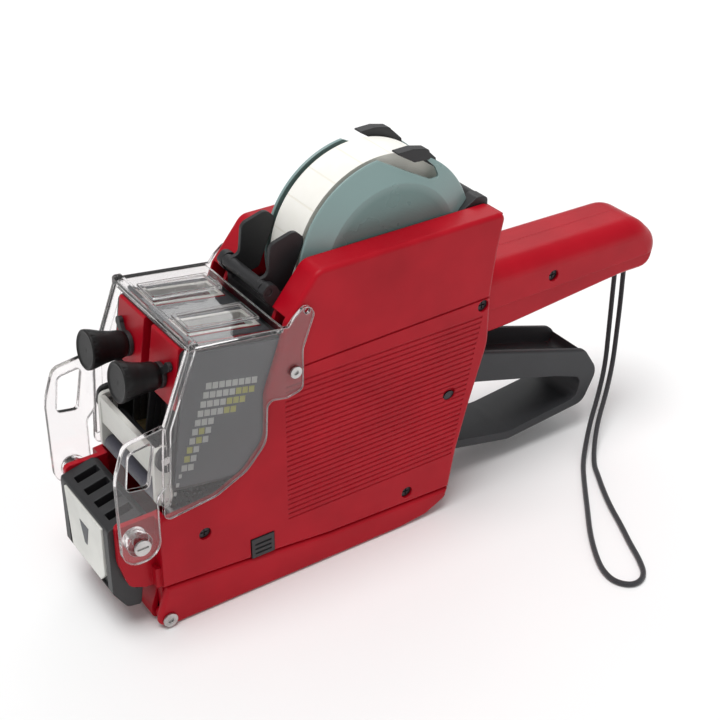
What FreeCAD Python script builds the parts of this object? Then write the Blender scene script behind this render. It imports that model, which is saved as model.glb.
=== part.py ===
import FreeCAD, Part
import math
import os

# Hand-held price labeling gun with two print lines.
# Frame: origin at the centre of the flat resting face, +X to the nose where labels come out,
# +Y to the left, +Z up. Millimetres.

V = FreeCAD.Vector

# ---------------------------------------------------------------- driving dimensions
HALF = 25.0              # half width of the body
WALL = 2.0               # wall of the moulded shells
INNER = HALF - WALL      # inner face of the side walls
TOP = 117.5              # top of the body
SLOT = 15.0              # half width of the slot that the label roll sits in
NOSE_HALF = 20.5         # half width of the narrow nose
RUN = 0.05               # radial running clearance

TRIGGER = (-66.0, 50.0)      # trigger pivot (x, z)
TRIGGER_CRANK = 8.57         # trigger crank, below its pivot
HEAD = (-15.0, 62.0)         # print head pivot
HEAD_CRANK = 24.0            # head crank, below its pivot
ROLL = (-47.5, 107.5)        # label roll axis
ROLL_R = 34.4
DISC_R = 34.9
DISC_FLAT = 26.0         # radius of the flat face of each disc
DISC_FACE = 14.2         # half distance between the flat faces
DISC_RIM = 10.0          # half distance between the rims
DISC_WALL = 1.2
HOLDER = (-84.0, 108.0)      # hinge of the roll holder
GUIDE = (1.0, 109.0)         # hinge of the strip guide lever
FEED = (20.0, 26.0)          # feed wheel axis
COVER = (57.8, 39.8)         # pivot of the clear cover
BASE_PIN = (49.3, 3.4)       # hinge of the bottom cover
LATCH = (12.6, 18.6)         # centre of each latch button
INK = (45.0, 66.0)           # pivot of the ink arm
INK_ROLLER = (45.4, 49.5)    # ink roller axis

HEAD_TILT = 8.8              # the head leans back by this angle at rest
KNOB = (54.2, 92.2)          # centre of the knob face
LINE_Y = 11.5                # half distance between the two print lines
BAND_COUNT = 10
BAND_PITCH = 2.4
BAND_START = 9.0
WHEEL_R = 6.0
TYPE_R = 4.2
TYPE_Z = 57.0
SHAFT_R = 2.0

SIDES = (("left", 1), ("right", -1))


# ---------------------------------------------------------------- helpers
def corner_points(a, b, c, radius):
    """Start, middle and end of the arc that rounds corner b between a and c."""
    to_a = (a - b).normalize()
    to_c = (c - b).normalize()
    half = math.acos(max(-1.0, min(1.0, to_a.dot(to_c)))) / 2
    reach = radius / math.tan(half)
    start = b + to_a * reach
    end = b + to_c * reach
    bisector = (to_a + to_c).normalize()
    middle = b + bisector * (radius / math.sin(half) - radius)
    return start, middle, end


def outline(corners):
    """Closed wire in the XZ plane. Each corner is (x, z) or (x, z, radius)."""
    points = [V(c[0], 0, c[1]) for c in corners]
    count = len(points)
    spans = []
    for i, corner in enumerate(corners):
        if len(corner) == 3:
            spans.append(corner_points(points[i - 1], points[i], points[(i + 1) % count], corner[2]))
        else:
            spans.append((points[i], None, points[i]))
    edges = []
    for i, (start, middle, end) in enumerate(spans):
        if middle is not None:
            edges.append(Part.Arc(start, middle, end).toShape())
        following = spans[(i + 1) % count][0]
        if end.distanceToPoint(following) > 1e-6:
            edges.append(Part.LineSegment(end, following).toShape())
    return Part.Wire(edges)


def plate(corners, y0, y1):
    """Prism of an XZ outline between two Y planes."""
    face = Part.Face(outline(corners))
    face.translate(V(0, y0, 0))
    return face.extrude(V(0, y1 - y0, 0))


def box(x0, x1, y0, y1, z0, z1):
    return Part.makeBox(x1 - x0, y1 - y0, z1 - z0, V(x0, y0, z0))


def rod_y(centre, radius, y0, y1):
    """Cylinder along Y."""
    return Part.makeCylinder(radius, y1 - y0, V(centre[0], y0, centre[1]), V(0, 1, 0))


def rod_x(x0, x1, y, z, radius):
    """Cylinder along X."""
    return Part.makeCylinder(radius, x1 - x0, V(x0, y, z), V(1, 0, 0))


def turned_y(centre, profile):
    """Solid of revolution about a Y axis. Profile points are (radius, y)."""
    points = [V(centre[0] + r, y, centre[1]) for r, y in profile]
    wire = Part.makePolygon(points + [points[0]])
    return Part.Face(wire).revolve(V(centre[0], 0, centre[1]), V(0, 1, 0), 360)


def turned_x(y, z, profile):
    """Solid of revolution about an X axis. Profile points are (x, radius)."""
    points = [V(x, y, z + r) for x, r in profile]
    wire = Part.makePolygon(points + [points[0]])
    return Part.Face(wire).revolve(V(0, y, z), V(1, 0, 0), 360)


def fuse(shapes):
    result = shapes[0].multiFuse(shapes[1:]) if len(shapes) > 1 else shapes[0]
    return result.removeSplitter()


def mirrored(shape):
    return shape.mirror(V(0, 0, 0), V(0, 1, 0))


def on_side(shape, side):
    """The left-hand shape for side +1, its mirror image for side -1."""
    return shape if side > 0 else mirrored(shape)


def both(shape):
    return [shape, mirrored(shape)]


def tilted(shape):
    """Leans a shape drawn level about the knob face, nose end up."""
    result = shape.copy()
    result.rotate(V(KNOB[0], 0, KNOB[1]), V(0, 1, 0), -HEAD_TILT)
    return result


def rounded_sides(shape, half, radius):
    """Fillets the edges that lie in the two side faces at y = +-half."""
    edges = []
    for edge in shape.Edges:
        if all(abs(abs(v.Point.y) - half) < 1e-3 for v in edge.Vertexes):
            if abs(edge.BoundBox.YLength) < 1e-3:
                edges.append(edge)
    return shape.makeFillet(radius, edges)


def coil(x, y, z, direction, length, radius, wire_radius, turns):
    """Helical spring that starts at a point and runs along a direction."""
    helix = Part.makeHelix(length / turns, length, radius)
    section = Part.Wire(Part.makeCircle(wire_radius, V(radius, 0, 0), V(0, 1, 0)))
    spring = Part.Wire(helix.Edges).makePipeShell([section], True, True)
    spring.rotate(V(0, 0, 0), V(0, 0, 1).cross(direction), 90)
    spring.translate(V(x, y, z))
    return spring


nodes = {}

# ---------------------------------------------------------------- housing
SEAM = [(50.3, 16.9), (17.9, 14.5), (-14.7, 11.5), (-67.4, 9.9)]
BODY_OUTLINE = [
    (-87.4, TOP, 2.5), (-11.5, TOP, 5), (0.6, 102.8), (9.5, 79.0, 12), (10.2, 61.4, 10),
    (18.1, 52.5, 9), (29.6, 47.1, 8), (50.0, 45.3), (63.2, 45.3, 2), (63.4, 30.0, 12),
    (60.5, 19.5, 4), (54.8, 16.9), *SEAM,
    (-70.2, 25.8, 30), (-75.1, 43.8, 30), (-82.4, 67.4, 18), (-82.5, 87.2, 30), (-84.6, 104.4),
]
CAVITY = [
    (-84.9, TOP - WALL), (-12.4, TOP - WALL), (-2.2, 103.2), (20.0, 106.0), (47.5, 80.0),
    (47.5, 8.0), (-65.0, 8.0), (-68.0, 25.8, 30), (-73.0, 44.2, 30), (-80.3, 67.8, 18),
    (-80.4, 87.2, 30), (-82.6, 104.4),
]
HANDLE = [
    (-76.0, 89.5), (-166.0, 88.2, 14), (-176.5, 78.0, 9), (-173.5, 65.0, 7), (-158.0, 65.3, 40),
    (-104.0, 60.6, 60), (-76.0, 60.0),
]
HANDLE_HOLLOW = [
    (-70.0, 87.0), (-165.0, 85.7, 12), (-173.8, 77.5, 7), (-171.5, 67.6, 5), (-158.0, 67.8, 40),
    (-104.0, 63.1, 60), (-89.0, 63.0), (-70.0, 63.0),
]
HANDLE_HALF = 14.0
EXIT_Z = 65.2            # underside of the lanyard anchor, flush with the grip
EXIT_X = (-166.6, -171.4)
ANCHOR = (-174.2, -163.8)
ANCHOR_HALF = 3.6
ANCHOR_DEEP = 6.0
SHELF_LIP = 1.5


def handle_grip():
    """Rounded grip, fuller above the step line and flatter below it."""
    upper = rounded_sides(plate(HANDLE, -HANDLE_HALF, HANDLE_HALF), HANDLE_HALF, 7.0)
    below = [(-70, 72.5), (-185, 73.5), (-185, 40), (-70, 40)]
    trim = [plate(below, y0, y1) for y0, y1 in ((-20, -12.6), (12.6, 20))]
    for strip in trim:
        upper = upper.cut(strip)
    return upper


def side_grooves():
    """Groove between the upper and lower side panels, and the fine ribbing below it."""
    cuts = [plate([(-83.5, 86.9), (-5.5, 85.1), (-5.5, 84.3), (-83.5, 86.1)], HALF - 0.5, HALF + 1)]
    rib_pitch = 2.0
    rib_count = 28
    for i in range(rib_count):
        z = 25.0 + i * rib_pitch
        rear = -67.5 - (z - 25.0) * 0.21
        cuts.append(box(rear, 2.0, HALF - 0.25, HALF + 1, z, z + 0.8))
    cuts.append(rod_y((-65.5, 51.9), 2.6, HALF - 1.2, HALF + 1))
    return cuts


def latch_window():
    return box(LATCH[0] - 4.7, LATCH[0] + 4.7, INNER - 1, HALF + 1, LATCH[1] - 4.2, LATCH[1] + 4.2)


def boss(centre, radius, y0, bore_radius):
    """Round boss on the left wall, from y0 out to the wall, with its bore."""
    return rod_y(centre, radius, y0, INNER + 0.5), rod_y(centre, bore_radius, y0 - 1, HALF - 0.6)


def housing_half(side):
    body = rounded_sides(plate(BODY_OUTLINE, -HALF, HALF), HALF, 1.6)
    lever_gap = box(-95, -60, -12.8, 12.8, 12.5, 59.8)
    nose_gap = [box(50.2, 70, NOSE_HALF, 30, 10, 60), box(50.2, 70, -30, -NOSE_HALF, 10, 60)]
    body = body.cut(Part.makeCompound(nose_gap))
    body = body.fuse(handle_grip()).cut(lever_gap)
    hollow = plate(CAVITY, -INNER, INNER)
    nose_mouth = box(40, 70, -18.4, 18.4, 10, 60)
    grip_hollow = rounded_sides(plate(HANDLE_HOLLOW, -11.4, 11.4), 11.4, 5.0)
    slot = box(-83.2, 14, -SLOT, SLOT, 95, 130)
    holder_notch = box(-95, -80, -SLOT, SLOT, 103.5, 130)
    body = body.cut(Part.makeCompound([hollow, nose_mouth]))
    body = body.cut(grip_hollow)
    adds = [
        box(-84.5, -12.4, SLOT, SLOT + SHELF_LIP, 98, TOP - 0.6),
        plate([(-82.0, 98), (-84.0, 104.4), (-86.6, TOP - 0.6), (-80, TOP - 0.6), (-80, 98)],
              SLOT, INNER + 0.5),
        plate([(-12.4, 98), (-12.4, TOP - 0.6), (-1.2, 103.6), (1.2, 98)], SLOT, SLOT + SHELF_LIP),
        box(45.6, 52.2, 19.4, INNER + 0.5, 17.2, 25.0),
        box(45.6, 50.2, 19.4, 22.7, 3.4, 18.0),
        rod_y(BASE_PIN, 2.6, 19.4, 22.7),
        box(50.2, 57.0, 15.5, 18.6, 17.2, 30.0),
        rod_y(COVER, 3.4, 15.8, 18.6),
        box(LATCH[0] - 2.1, LATCH[0] + 2.1, 11.2, 12.9, LATCH[1] - 3.8, LATCH[1] + 6.0),
        box(LATCH[0] - 2.1, LATCH[0] + 2.1, 12.5, INNER + 0.5, LATCH[1] + 4.6, LATCH[1] + 6.0),
    ]
    bores = []
    for centre, radius, y0, bore_radius in (
            (TRIGGER, 5.5, 12.6, 2.5), (HEAD, 6.0, 22.4, 3.0), (FEED, 4.0, 14.0, 2.0)):
        added, bore = boss(centre, radius, y0, bore_radius)
        adds.append(added)
        bores.append(bore)
    for x, z, face in SCREW_POSTS:
        adds.append(rod_y((x, z), 3.0, 0.0, face - 1.5))
        bores.append(rod_y((x, z), 1.2, -1, face + 1))
        bores.append(rod_y((x, z), 2.3, face - SCREW_SINK, face + 1))
    bores.append(rod_y(BASE_PIN, 1.6, 15, INNER))
    bores.append(rod_y(COVER, 1.5, 15, 30))
    bores.append(rod_y(HOLDER, 1.5, SLOT - 1, SLOT + 2.5))
    left = body.common(box(-200, 100, 0, 40, -10, 140))
    left = left.fuse([a.common(box(-200, 100, 0, HALF, -10, 140)) for a in adds])
    for gap in (slot, holder_notch):
        left = left.cut(gap)
    left = left.cut(Part.makeCompound(bores + [latch_window()]))
    left = left.cut(Part.makeCompound(side_grooves()))
    left = left.cut(box(ANCHOR[0], ANCHOR[1], -1, ANCHOR_HALF, 60, EXIT_Z + ANCHOR_DEEP))
    return on_side(left.removeSplitter(), side)


# Each screw: x, z and the half width of the shell where its head sits.
SCREW_POSTS = [(-79.0, 83.6, HALF), (-48.0, 15.5, HALF), (34.0, 33.0, HALF), (-121.0, 78.0, HANDLE_HALF)]
SCREW_SINK = 2.2

for name, side in SIDES:
    nodes[name + "_housing"] = housing_half(side)


# Housing screws: head in the right shell's counterbore, shank in the left shell's post.
def housing_screw(x, z, face):
    top = face - 1.0
    head = rod_y((x, z), 2.2, face - SCREW_SINK, top)
    cross = [box(x - 1.3, x + 1.3, top - 0.5, face, z - 0.25, z + 0.25),
             box(x - 0.25, x + 0.25, top - 0.5, face, z - 1.3, z + 1.3)]
    shank = rod_y((x, z), 1.2, 8.0 - face, face - SCREW_SINK)
    return head.fuse(shank).cut(Part.makeCompound(cross))


nodes["housing_screws"] = Part.makeCompound([housing_screw(*post) for post in SCREW_POSTS])

# ---------------------------------------------------------------- bottom cover and its hinge
BOTTOM_OUTLINE = [
    (-67.2, 9.7), (-66.0, 5.5, 3), (-57.0, 1.2, 8), (-46.0, 0.0, 30), (46.0, 0.0, 3), (53.2, 1.4, 2.5),
    (52.8, 6.0), (49.3, 16.6), (17.9, 14.25), (-14.7, 11.25),
]
BOTTOM_HOLLOW = [
    (-64.5, 20), (-63.6, 7.0, 3), (-56.0, 3.2, 8), (-46.0, WALL, 30), (44.5, WALL, 2), (51.0, 3.0, 2),
    (50.6, 6.0), (46.0, 20),
]


def bottom_cover():
    shell = rounded_sides(plate(BOTTOM_OUTLINE, -HALF, HALF), HALF, 1.5)
    shell = shell.cut(plate(BOTTOM_HOLLOW, -INNER, INNER))
    for y0, y1 in ((19.0, INNER), (-INNER, -19.0)):
        shell = shell.cut(box(44.8, 60, y0, y1, -1, 20))
    pin_bore = rod_y(BASE_PIN, 1.6 + RUN, -30, 30)
    latch_room = [s for s in both(latch_window())]
    ribs = [box(x, x + 1.5, -INNER - 0.2, INNER + 0.2, 1.5, 4.0) for x in (-40, -15, 10)]
    shell = shell.fuse(ribs).removeSplitter()
    return shell.cut(Part.makeCompound([pin_bore] + latch_room))


nodes["bottom_cover"] = bottom_cover()
pin = rod_y(BASE_PIN, 1.6, 15.4, HALF + 0.2).fuse(rod_y(BASE_PIN, 2.6, HALF + 0.2, HALF + 0.9))
pin = pin.cut(rod_y(BASE_PIN, 1.1, HALF + 0.4, HALF + 2))
nodes["base_hinge_pins"] = Part.makeCompound(both(pin))

# ---------------------------------------------------------------- latch buttons
for name, side in SIDES:
    x, z = LATCH
    button = box(x - 4.4, x + 4.4, 20.5, HALF + 0.4, z - 3.9, z + 3.9)
    grip = [box(x - 3.2, x + 3.2, HALF - 0.1, HALF + 1, z - 2.6 + i * 1.9, z - 1.8 + i * 1.9)
            for i in range(3)]
    hook = box(x - 3.0, x + 3.0, 19.0, 20.7, 7.5, z + 3.9).fuse(box(x - 3.0, x + 3.0, 19.0, 21.0, 7.5, 9.0))
    seat = rod_y((x, z), 1.4, 17.0, 19.1)
    latch = fuse([button, hook, seat]).cut(Part.makeCompound(grip))
    nodes["latch_" + name] = on_side(latch, side)
    spring = coil(x, 13.3, z, V(0, 1, 0), 5.3, 2.2, 0.3, 5)
    nodes["latch_spring_" + name] = on_side(spring, side)

# ---------------------------------------------------------------- trigger lever
LEVER = [
    (-143.5, 37.0, 6), (-151.0, 25.5, 7), (-144.5, 12.2, 6), (-106.0, 8.6, 14), (-80.0, 14.2, 8),
    (-60.5, 16.5, 2), (-58.5, 44.0), (-59.5, 56.5, 5), (-72.5, 56.6, 6), (-88.0, 54.6, 20),
]
LEVER_OPENING = [
    (-76.5, 42.6, 3), (-88.0, 42.0, 10), (-128.0, 30.4, 10), (-142.3, 25.0, 4), (-140.0, 16.0, 4),
    (-106.0, 12.6, 16), (-84.0, 17.5, 8), (-75.5, 19.0, 3),
]
LEVER_CHANNEL = [(-84.0, 66), (-84.0, 47.5, 2), (-128.0, 34.8, 8), (-143.0, 30.0, 3), (-152.0, 46.0)]
LEVER_HALF = 12.0
CRANK_PIN = (TRIGGER[0], TRIGGER[1] - TRIGGER_CRANK)


def trigger_lever():
    lever = rounded_sides(plate(LEVER, -LEVER_HALF, LEVER_HALF), LEVER_HALF, 1.0)
    channel_half = LEVER_HALF - 2.2
    cuts = [
        plate(LEVER_OPENING, -20, 20),
        plate(LEVER_CHANNEL, -channel_half, channel_half),
        rod_y(TRIGGER, 2.5 + RUN, -20, 20),
        rod_y(CRANK_PIN, 1.5, -8, 8),
        box(-73.0, -50.0, -3.0, 3.0, 35.0, 46.6),
        box(-70.5, -50.0, -9.0, 9.0, 20.0, 32.0),
    ]
    return lever.cut(Part.makeCompound(cuts))


nodes["trigger_lever"] = trigger_lever()
nodes["trigger_pin"] = rod_y(TRIGGER, 2.5, -HALF + 0.6, HALF - 0.6)
nodes["lever_link_pin"] = rod_y(CRANK_PIN, 1.5, -8, 8)
nodes["trigger_spring"] = coil(-69.7, 0, 26.0, V(1, 0, 0), 36.6, 4.0, 0.6, 14)
post = box(-32.4, -29.4, -INNER, INNER, 19.5, 33.0)
nodes["spring_anchor"] = post

# ---------------------------------------------------------------- print head, drawn level
HEAD_LEVEL = (-18.8, 72.9)
CHEEK = [
    (-18.8 - 5.5, 72.9, 3), (-17.0, 66.0, 4), (3.0, 55.0, 5), (38.0, 55.0, 2), (38.0, 63.0, 2),
    (44.0, 64.0, 3), (44.0, 71.5, 3), (38.0, 73.0, 2), (38.0, 83.4), (3.0, 83.4, 3), (-14.0, 78.5, 4),
]
CHEEK_Y = (20.6, 22.1)
CASE_Y = (2.6, 20.4)
CASE_X = (6.0, 38.5)
CASE_Z = (83.6, 105.5)
WINDOW = (9.0, 33.2, 7.2, 16.4)


def head_frame():
    cheeks = [plate(CHEEK, CHEEK_Y[0], CHEEK_Y[1]), plate(CHEEK, -CHEEK_Y[1], -CHEEK_Y[0])]
    upper = [plate([(3, 83), (38, 83), (38, 105, 2), (3, 105, 2)], y0, y1)
             for y0, y1 in ((CHEEK_Y[0], CHEEK_Y[1]), (-CHEEK_Y[1], -CHEEK_Y[0]))]
    rear = box(3.0, 5.8, -21.0, 21.0, 55.5, 104.5)
    nose_bar = box(34.2, 35.8, -21.0, 21.0, 56.0, 62.0)
    level = fuse(cheeks + upper + [rear, nose_bar])
    level = level.cut(Part.makeCompound([rod_x(0, 40, s * LINE_Y, KNOB[1], SHAFT_R + RUN)
                                         for s in (1, -1)]))
    level = tilted(level)
    tube = rod_y(HEAD, 6.0, -CHEEK_Y[1], CHEEK_Y[1])
    pin_low = (HEAD[0], HEAD[1] - HEAD_CRANK)
    crank = [(-20.0, 62.0), (-19.0, 38.0), (-17.5, 34.0, 2), (-12.5, 34.0, 2), (-11.0, 38.0), (-10.0, 62.0)]
    webs = [plate(crank, 3.2, 6.2), plate(crank, -6.2, -3.2)]
    solid = fuse([level, tube] + webs)
    bores = [
        rod_y(HEAD, 3.0 + RUN, -30, 30),
        rod_y(pin_low, 1.5, -10, 10),
        rod_y(INK, 1.5, -30, 30),
    ]
    return solid.cut(Part.makeCompound(bores))


nodes["head_frame"] = head_frame()
nodes["head_pivot_shaft"] = rod_y(HEAD, 3.0, -HALF + 0.6, HALF - 0.6)
nodes["head_link_pin"] = rod_y((HEAD[0], HEAD[1] - HEAD_CRANK), 1.5, -6.2, 6.2)


def drive_link():
    low = (HEAD[0], HEAD[1] - HEAD_CRANK)
    span = V(low[0] - CRANK_PIN[0], 0, low[1] - CRANK_PIN[1])
    bar = box(0, span.Length, -2.5, 2.5, -3.0, 3.0)
    angle = -math.degrees(math.atan2(span.z, span.x))
    bar.rotate(V(0, 0, 0), V(0, 1, 0), angle)
    bar.translate(V(CRANK_PIN[0], 0, CRANK_PIN[1]))
    eyes = [rod_y(CRANK_PIN, 3.6, -2.5, 2.5), rod_y(low, 3.6, -2.5, 2.5)]
    link = fuse([bar] + eyes)
    return link.cut(Part.makeCompound([rod_y(CRANK_PIN, 1.5 + RUN, -5, 5), rod_y(low, 2.0, -5, 5)]))


nodes["drive_link"] = drive_link()

wheel_x = [BAND_START + i * BAND_PITCH for i in range(BAND_COUNT)]
BAND_WIDTH = 2.1


def band_loop(x, y):
    """Rubber print band around an upper wheel and the type bar."""
    def stadium(upper_r, lower_r):
        upper = Part.makeCylinder(upper_r, BAND_WIDTH, V(x, y, KNOB[1]), V(1, 0, 0))
        lower = Part.makeCylinder(lower_r, BAND_WIDTH, V(x, y, TYPE_Z), V(1, 0, 0))
        lean = math.asin((upper_r - lower_r) / (KNOB[1] - TYPE_Z))
        rise_u = upper_r * math.sin(lean)
        rise_l = lower_r * math.sin(lean)
        side_u = upper_r * math.cos(lean)
        side_l = lower_r * math.cos(lean)
        points = [V(x, y - side_l, TYPE_Z - rise_l), V(x, y + side_l, TYPE_Z - rise_l),
                  V(x, y + side_u, KNOB[1] - rise_u), V(x, y - side_u, KNOB[1] - rise_u)]
        web = Part.Face(Part.makePolygon(points + [points[0]])).extrude(V(BAND_WIDTH, 0, 0))
        return upper.fuse([lower, web])
    thickness = 0.9
    return stadium(WHEEL_R + thickness, TYPE_R + thickness).cut(stadium(WHEEL_R, TYPE_R)).removeSplitter()


def band_wheel(x, y):
    wheel = rod_x(x, x + BAND_WIDTH, y, KNOB[1], WHEEL_R - RUN)
    return wheel.cut(rod_x(x - 1, x + 5, y, KNOB[1], SHAFT_R + RUN))


def head_case(y0, y1):
    x0, x1 = CASE_X
    z0, z1 = CASE_Z
    shell = box(x0, x1, y0, y1, z0, z1)
    tall = [e for e in shell.Edges if e.BoundBox.XLength < 1e-6 and e.BoundBox.ZLength < 1e-6
            and e.BoundBox.XMax > x1 - 0.1]
    shell = shell.makeFillet(0.8, tall)
    middle = (y0 + y1) / 2
    hollow = box(x0 + 1.6, x1 - 2.4, y0 + 1.3, y1 - 1.3, z0 - 1, z1 - 1.8)
    window = box(WINDOW[0], WINDOW[1], middle - 4.6, middle + 4.6, z1 - 5, z1 + 1)
    rim = box(WINDOW[0] - 1.4, WINDOW[1] + 1.4, middle - 6.0, middle + 6.0, z1 - 1, z1 + 0.8)
    shaft = rod_x(x0 - 2, x1 + 2, middle, KNOB[1], SHAFT_R + RUN)
    slide_rod = rod_x(x1 - 5, x1 + 5, middle + 5.6, KNOB[1] + 5.6, 0.8)
    return shell.fuse(rim).cut(Part.makeCompound([hollow, window, shaft, slide_rod]))


def head_top_plate():
    """Thin plate over both cases, open round their window rims."""
    top = box(CASE_X[0] + 0.2, CASE_X[1] - 1.1, -CASE_Y[1], CASE_Y[1], CASE_Z[1], CASE_Z[1] + 0.5)
    middle = (CASE_Y[0] + CASE_Y[1]) / 2
    opening = box(WINDOW[0] - 1.4, WINDOW[1] + 1.4, middle - 6.0, middle + 6.0, CASE_Z[1] - 1, CASE_Z[1] + 2)
    return top.cut(Part.makeCompound(both(opening)))


def knob():
    """Flared finger knob on its selector shaft."""
    x = KNOB[0]
    profile = [
        (6.2, 0), (6.2, SHAFT_R), (40.6, SHAFT_R), (40.6, 4.2), (42.0, 4.7), (45.0, 4.9), (48.0, 5.4),
        (51.5, 6.4), (53.2, 6.7), (x - 0.3, 6.7), (x, 6.3), (x - 0.4, 5.4), (x - 0.5, 0),
    ]
    body = turned_x(LINE_Y, KNOB[1], profile)
    flutes = []
    for i in range(16):
        angle = math.radians(i * 22.5)
        y = LINE_Y + 7.0 * math.cos(angle)
        z = KNOB[1] + 7.0 * math.sin(angle)
        flutes.append(rod_x(50.0, 53.4, y, z, 0.55))
    return body.cut(Part.makeCompound(flutes))


def selector_slide():
    """Collar that slides with the knob and carries the pointer into the window."""
    collar = rod_x(38.9, 40.3, LINE_Y, KNOB[1], 4.3)
    ear = rod_x(38.9, 40.3, LINE_Y + 5.6, KNOB[1] + 5.6, 1.6)
    web = box(38.9, 40.3, -1.2, 1.2, 0, 7.0)
    web.rotate(V(0, 0, 0), V(1, 0, 0), -45)
    web.translate(V(0, LINE_Y, KNOB[1]))
    rod = rod_x(10.4, 40.3, LINE_Y + 5.6, KNOB[1] + 5.6, 0.7)
    flag = box(10.4, 11.8, LINE_Y + 3.0, LINE_Y + 6.4, KNOB[1] + 5.2, KNOB[1] + 8.6)
    flag = flag.cut(rod_x(5, 20, LINE_Y, KNOB[1], WHEEL_R + 1.1))
    slide = fuse([collar, ear, web, rod, flag])
    return slide.cut(rod_x(35, 45, LINE_Y, KNOB[1], SHAFT_R + RUN))


for name, side in SIDES:
    y = LINE_Y
    bands = [band_loop(x, y) for x in wheel_x]
    wheels = [band_wheel(x, y) for x in wheel_x]
    type_bar = rod_x(5.8, 34.2, y, TYPE_Z, TYPE_R)
    nodes["print_bands_" + name] = on_side(tilted(Part.makeCompound(bands)), side)
    nodes["band_wheels_" + name] = on_side(tilted(Part.makeCompound(wheels[1:])), side)
    nodes["selected_wheel_" + name] = on_side(tilted(wheels[0]), side)
    nodes["type_bar_" + name] = on_side(tilted(type_bar), side)
    nodes["head_case_" + name] = on_side(tilted(head_case(CASE_Y[0], CASE_Y[1])), side)
    side_plate = plate([(2.5, 56.5, 4), (37.5, 56.5, 2), (37.5, 104.5, 2), (2.5, 104.5, 2)],
                       CHEEK_Y[1], CHEEK_Y[1] + 0.7)
    nodes["side_plate_" + name] = on_side(tilted(side_plate), side)
    nodes["selector_slide_" + name] = on_side(tilted(selector_slide()), side)
    nodes["knob_" + name] = on_side(tilted(knob()), side)

nodes["head_top_plate"] = tilted(head_top_plate())

# ---------------------------------------------------------------- ink arm and roller
def ink_arm():
    arm = [(-3.2 + INK[0], INK[1], 2), (INK[0] - 2.2, INK[1] + 3.2, 2), (INK[0] + 2.6, INK[1] + 3.2, 2),
           (INK[0] + 3.2, INK[1], 2), (INK_ROLLER[0] + 3.4, INK_ROLLER[1] - 0.5, 2),
           (INK_ROLLER[0] + 1.5, INK_ROLLER[1] - 2.6, 1.5), (INK_ROLLER[0] - 1.5, INK_ROLLER[1] - 2.6, 1.5),
           (INK_ROLLER[0] - 2.8, INK_ROLLER[1] - 0.5, 2)]
    arms = [plate(arm, 18.4, 20.2), plate(arm, -20.2, -18.4)]
    bridge = box(INK[0] + 1.2, INK[0] + 3.0, -19, 19, INK[1] - 8.0, INK[1] + 2.6)
    solid = fuse(arms + [bridge])
    return solid.cut(Part.makeCompound([rod_y(INK, 1.5 + RUN, -30, 30), rod_y(INK_ROLLER, 1.0, -30, 30)]))


nodes["ink_arm"] = ink_arm()
nodes["ink_arm_pins"] = Part.makeCompound(both(rod_y(INK, 1.5, 18.0, CHEEK_Y[1])))
nodes["ink_axle"] = rod_y(INK_ROLLER, 1.0, -20.2, 20.2)
nodes["ink_roller"] = rod_y(INK_ROLLER, 3.0, -17.8, 17.8).cut(rod_y(INK_ROLLER, 1.0 + RUN, -30, 30))

# ---------------------------------------------------------------- platen, feed wheel
platen = plate([(8.0, 42.0), (43.0, 44.2), (44.4, 43.0, 0.8), (43.0, 40.9), (8.0, 38.9)], -INNER, INNER)
nodes["platen"] = platen.cut(Part.makeCompound([rod_y((34.0, 36.5), 3.05, -30, 30)]))


def feed_wheel():
    wheel = rod_y(FEED, 11.0, -8.5, 8.5)
    for i in range(12):
        tooth = box(-0.8, 0.8, -2.0, 2.0, 10.5, 12.2)
        tooth.rotate(V(0, 0, 0), V(0, 1, 0), i * 30.0)
        tooth.translate(V(FEED[0], 0, FEED[1]))
        wheel = wheel.fuse(tooth)
    lighten = [rod_y(FEED, 8.8, 1.2, 9), rod_y(FEED, 8.8, -9, -1.2)]
    hub = rod_y(FEED, 4.0, -8.5, 8.5)
    wheel = wheel.cut(Part.makeCompound(lighten)).fuse(hub)
    return wheel.cut(rod_y(FEED, 2.0 + RUN, -30, 30)).removeSplitter()


def ratchet():
    teeth = 12
    points = []
    for i in range(teeth):
        start = math.radians(i * 360.0 / teeth)
        end = math.radians((i + 0.9) * 360.0 / teeth)
        points.append((FEED[0] + 6.4 * math.cos(start), FEED[1] + 6.4 * math.sin(start)))
        points.append((FEED[0] + 8.2 * math.cos(end), FEED[1] + 8.2 * math.sin(end)))
    return plate(points, 8.5, 10.5).cut(rod_y(FEED, 2.0 + RUN, 0, 30))


nodes["feed_wheel"] = feed_wheel()
nodes["feed_ratchet"] = ratchet()
nodes["feed_axle"] = rod_y(FEED, 2.0, -HALF + 0.6, HALF - 0.6)

# ---------------------------------------------------------------- nose
NOSE = [
    (51.0, 44.6, 1), (53.5, 45.9, 1), (65.0, 43.0, 1.2), (65.3, 41.5), (65.6, 17.0, 2), (61.0, 9.6, 3),
    (56.0, 8.6, 1), (54.9, 16.0), (54.9, 20.0), (51.0, 22.0),
]


def nose_block():
    block = plate(NOSE, -18.2, 18.2)
    core = plate([(49.0, 41.2), (61.5, 40.4), (61.8, 19.0), (57.0, 14.0), (49.0, 24.0)], -15.6, 15.6)
    core = core.cut(Part.makeCompound(both(box(49, 66, 5.0, 6.6, 10, 45))))
    slots = [box(54.0, 62.4, y - 1.9, y + 1.9, 40, 50) for y in (-12.0, -4.0, 4.0, 12.0)]
    screw_room = both(rod_y(COVER, 3.7, 15.5, 18.5))
    lug_room = both(box(49.0, 57.3, 15.3, 18.5, 16.0, 30.3))
    seat = plate([(64.6, 42.0), (66, 42.0), (66, 17.3), (64.6, 17.3)], -14.8, 14.8)
    block = block.cut(core)
    return block.cut(Part.makeCompound(slots + screw_room + lug_room + [seat]))


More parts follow.
